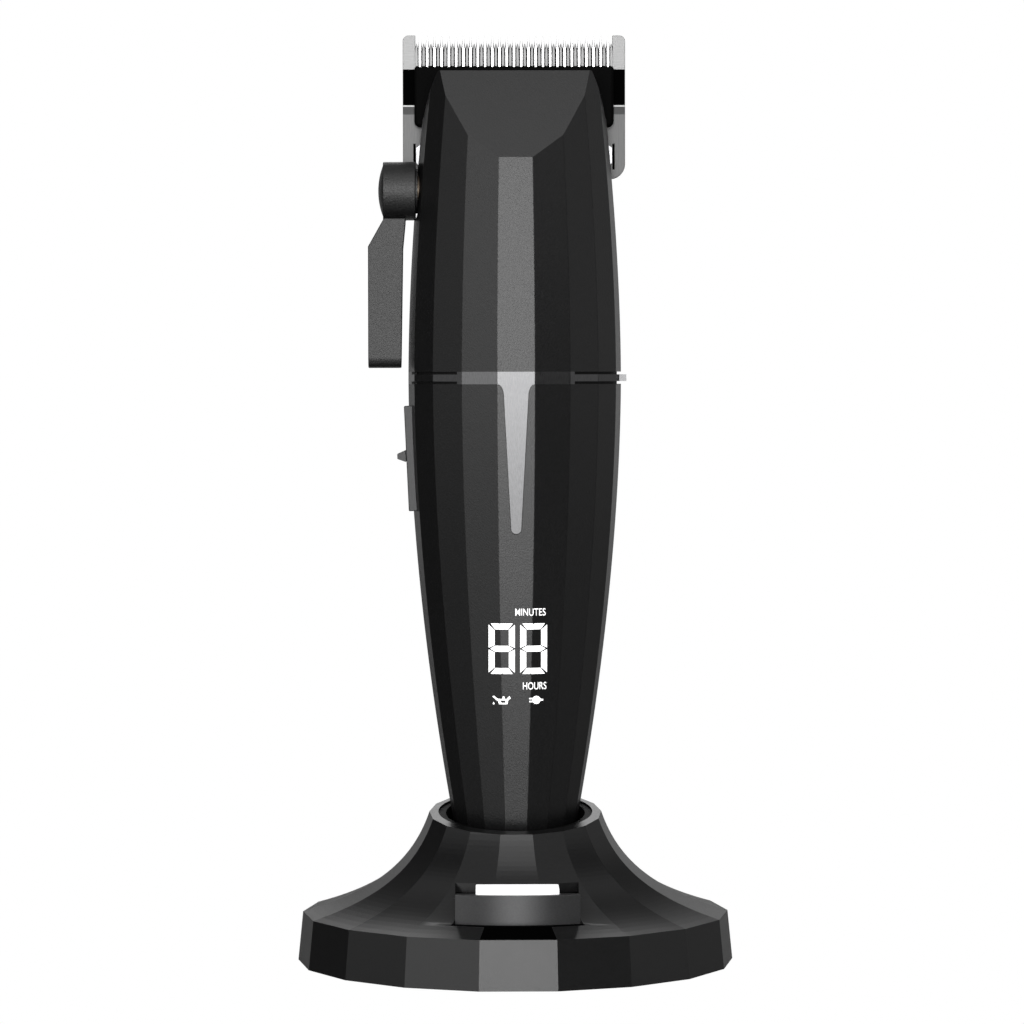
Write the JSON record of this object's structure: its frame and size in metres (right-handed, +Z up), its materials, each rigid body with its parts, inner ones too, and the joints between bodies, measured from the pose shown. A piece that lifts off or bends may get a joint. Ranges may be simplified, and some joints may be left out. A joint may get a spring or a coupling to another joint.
{
  "type": "hair clipper",
  "caption": "Cordless hair clipper with a faceted body, taper lever and drop-in charging dock.",
  "frame": {"origin": "centre of the dock's underside, on the surface it stands on", "axes": "+Z up along the clipper's length, front of the clipper and dock faces -Y, +X to the right of the front view"},
  "size_m": [0.0898, 0.0884, 0.1913],
  "materials": {
    "coated_shell": "satin black coating",
    "dock_black": "satin black moulding",
    "visor_grey": "satin dark grey",
    "light_white": "lit white diffuser",
    "cup_black": "matt black",
    "satin_steel": "satin",
    "blade_steel": "ground steel",
    "cutter_black": "black hard coating",
    "lever_coat": "grained dark grey powder coat",
    "screw_steel": "zinc plated",
    "contact_brass": "gold plated",
    "board_green": "solder mask",
    "digit_white": "lit digits",
    "cell_wrap": "shrink sleeve",
    "chassis_plastic": "moulded",
    "motor_steel": "plated can",
    "cast_metal": "die cast",
    "rubber_foot": "matt rubber",
    "socket_black": "moulded",
    "slider_grey": "satin",
    "bush_bronze": "sintered",
    "fork_white": "acetal"
  },
  "bodies": {
    "dock": {"dock_shell": "dock_black", "dock_visor": "visor_grey", "dock_light_bar": "light_white", "dock_cup": "cup_black", "dock_board": "board_green", "dock_power_socket": "socket_black", "dock_base_plate": "dock_black", "dock_screws": "screw_steel", "dock_ballast": "motor_steel", "dock_foot_ring": "rubber_foot", "contact_block": "chassis_plastic", "contact_spring_left": "screw_steel", "contact_spring_right": "screw_steel"},
    "contact_pin_left": {"contact_pin_left": "contact_brass"},
    "contact_pin_right": {"contact_pin_right": "contact_brass"},
    "clipper": {"grip_front_shell": "coated_shell", "grip_rear_shell": "coated_shell", "trim_ring": "satin_steel", "end_cap": "chassis_plastic", "contact_pads": "contact_brass", "charge_socket": "socket_black", "battery_cell": "cell_wrap", "battery_cradle": "chassis_plastic", "display_board": "board_green", "display_digits": "digit_white", "main_board": "board_green", "slide_switch": "socket_black", "switch_plate": "slider_grey", "grip_screws": "screw_steel", "head_screws": "screw_steel", "motor_can": "motor_steel", "motor_end_bell": "chassis_plastic", "motor_mount": "cast_metal", "motor_screws": "screw_steel", "head_front_cover": "coated_shell", "head_rear_shell": "coated_shell", "blade_base": "cast_metal", "cutter_spring": "satin_steel", "lever_bush": "bush_bronze"},
    "motor_rotor": {"drive_shaft": "motor_steel", "eccentric": "chassis_plastic"},
    "cutter": {"moving_blade": "cutter_black", "drive_fork": "fork_white"},
    "blade_carriage": {"fixed_blade": "blade_steel", "blade_carriage": "satin_steel", "blade_screws": "screw_steel"},
    "taper_lever": {"taper_lever": "lever_coat", "lever_cap": "lever_coat", "lever_screw": "screw_steel", "lever_shaft": "motor_steel", "lever_washer": "satin_steel"},
    "power_switch": {"switch_slider": "slider_grey"}
  },
  "joints": [
    {"name": "clipper_lift", "type": "slide", "parent": "dock", "child": "clipper", "axis": [0, 0, 1], "range_m": [0, 0.06]},
    {"name": "contact_pin_left_press", "type": "slide", "parent": "dock", "child": "contact_pin_left", "axis": [0, 0, 1], "range_m": [-0.001, 0], "stiffness_N_per_m": 300, "deforming": ["contact_spring_left"]},
    {"name": "contact_pin_right_press", "type": "slide", "parent": "dock", "child": "contact_pin_right", "axis": [0, 0, 1], "range_m": [-0.001, 0], "stiffness_N_per_m": 300, "deforming": ["contact_spring_right"]},
    {"name": "motor_spin", "type": "hinge", "parent": "clipper", "child": "motor_rotor", "pos_m": [0, 0, 0.12], "axis": [0, 0, 1], "continuous": true},
    {"name": "cutter_stroke", "type": "slide", "parent": "clipper", "child": "cutter", "axis": [1, 0, 0], "range_m": [-0.001, 0.001]},
    {"name": "taper_lever_turn", "type": "hinge", "parent": "clipper", "child": "taper_lever", "pos_m": [-0.0238, 0, 0.1589], "axis": [-1, 0, 0], "range_deg": [0, 45]},
    {"name": "blade_gap", "type": "slide", "parent": "clipper", "child": "blade_carriage", "axis": [0, 0, 1], "range_m": [0, 0.0015]},
    {"name": "power_switch_slide", "type": "slide", "parent": "clipper", "child": "power_switch", "axis": [-0.0452, 0, 0.999], "range_m": [0, 0.004]}
  ],
  "couplings": [
    {"joint": "blade_gap", "follows": "taper_lever_turn", "m_per_rad": 0.0019097}
  ]
}
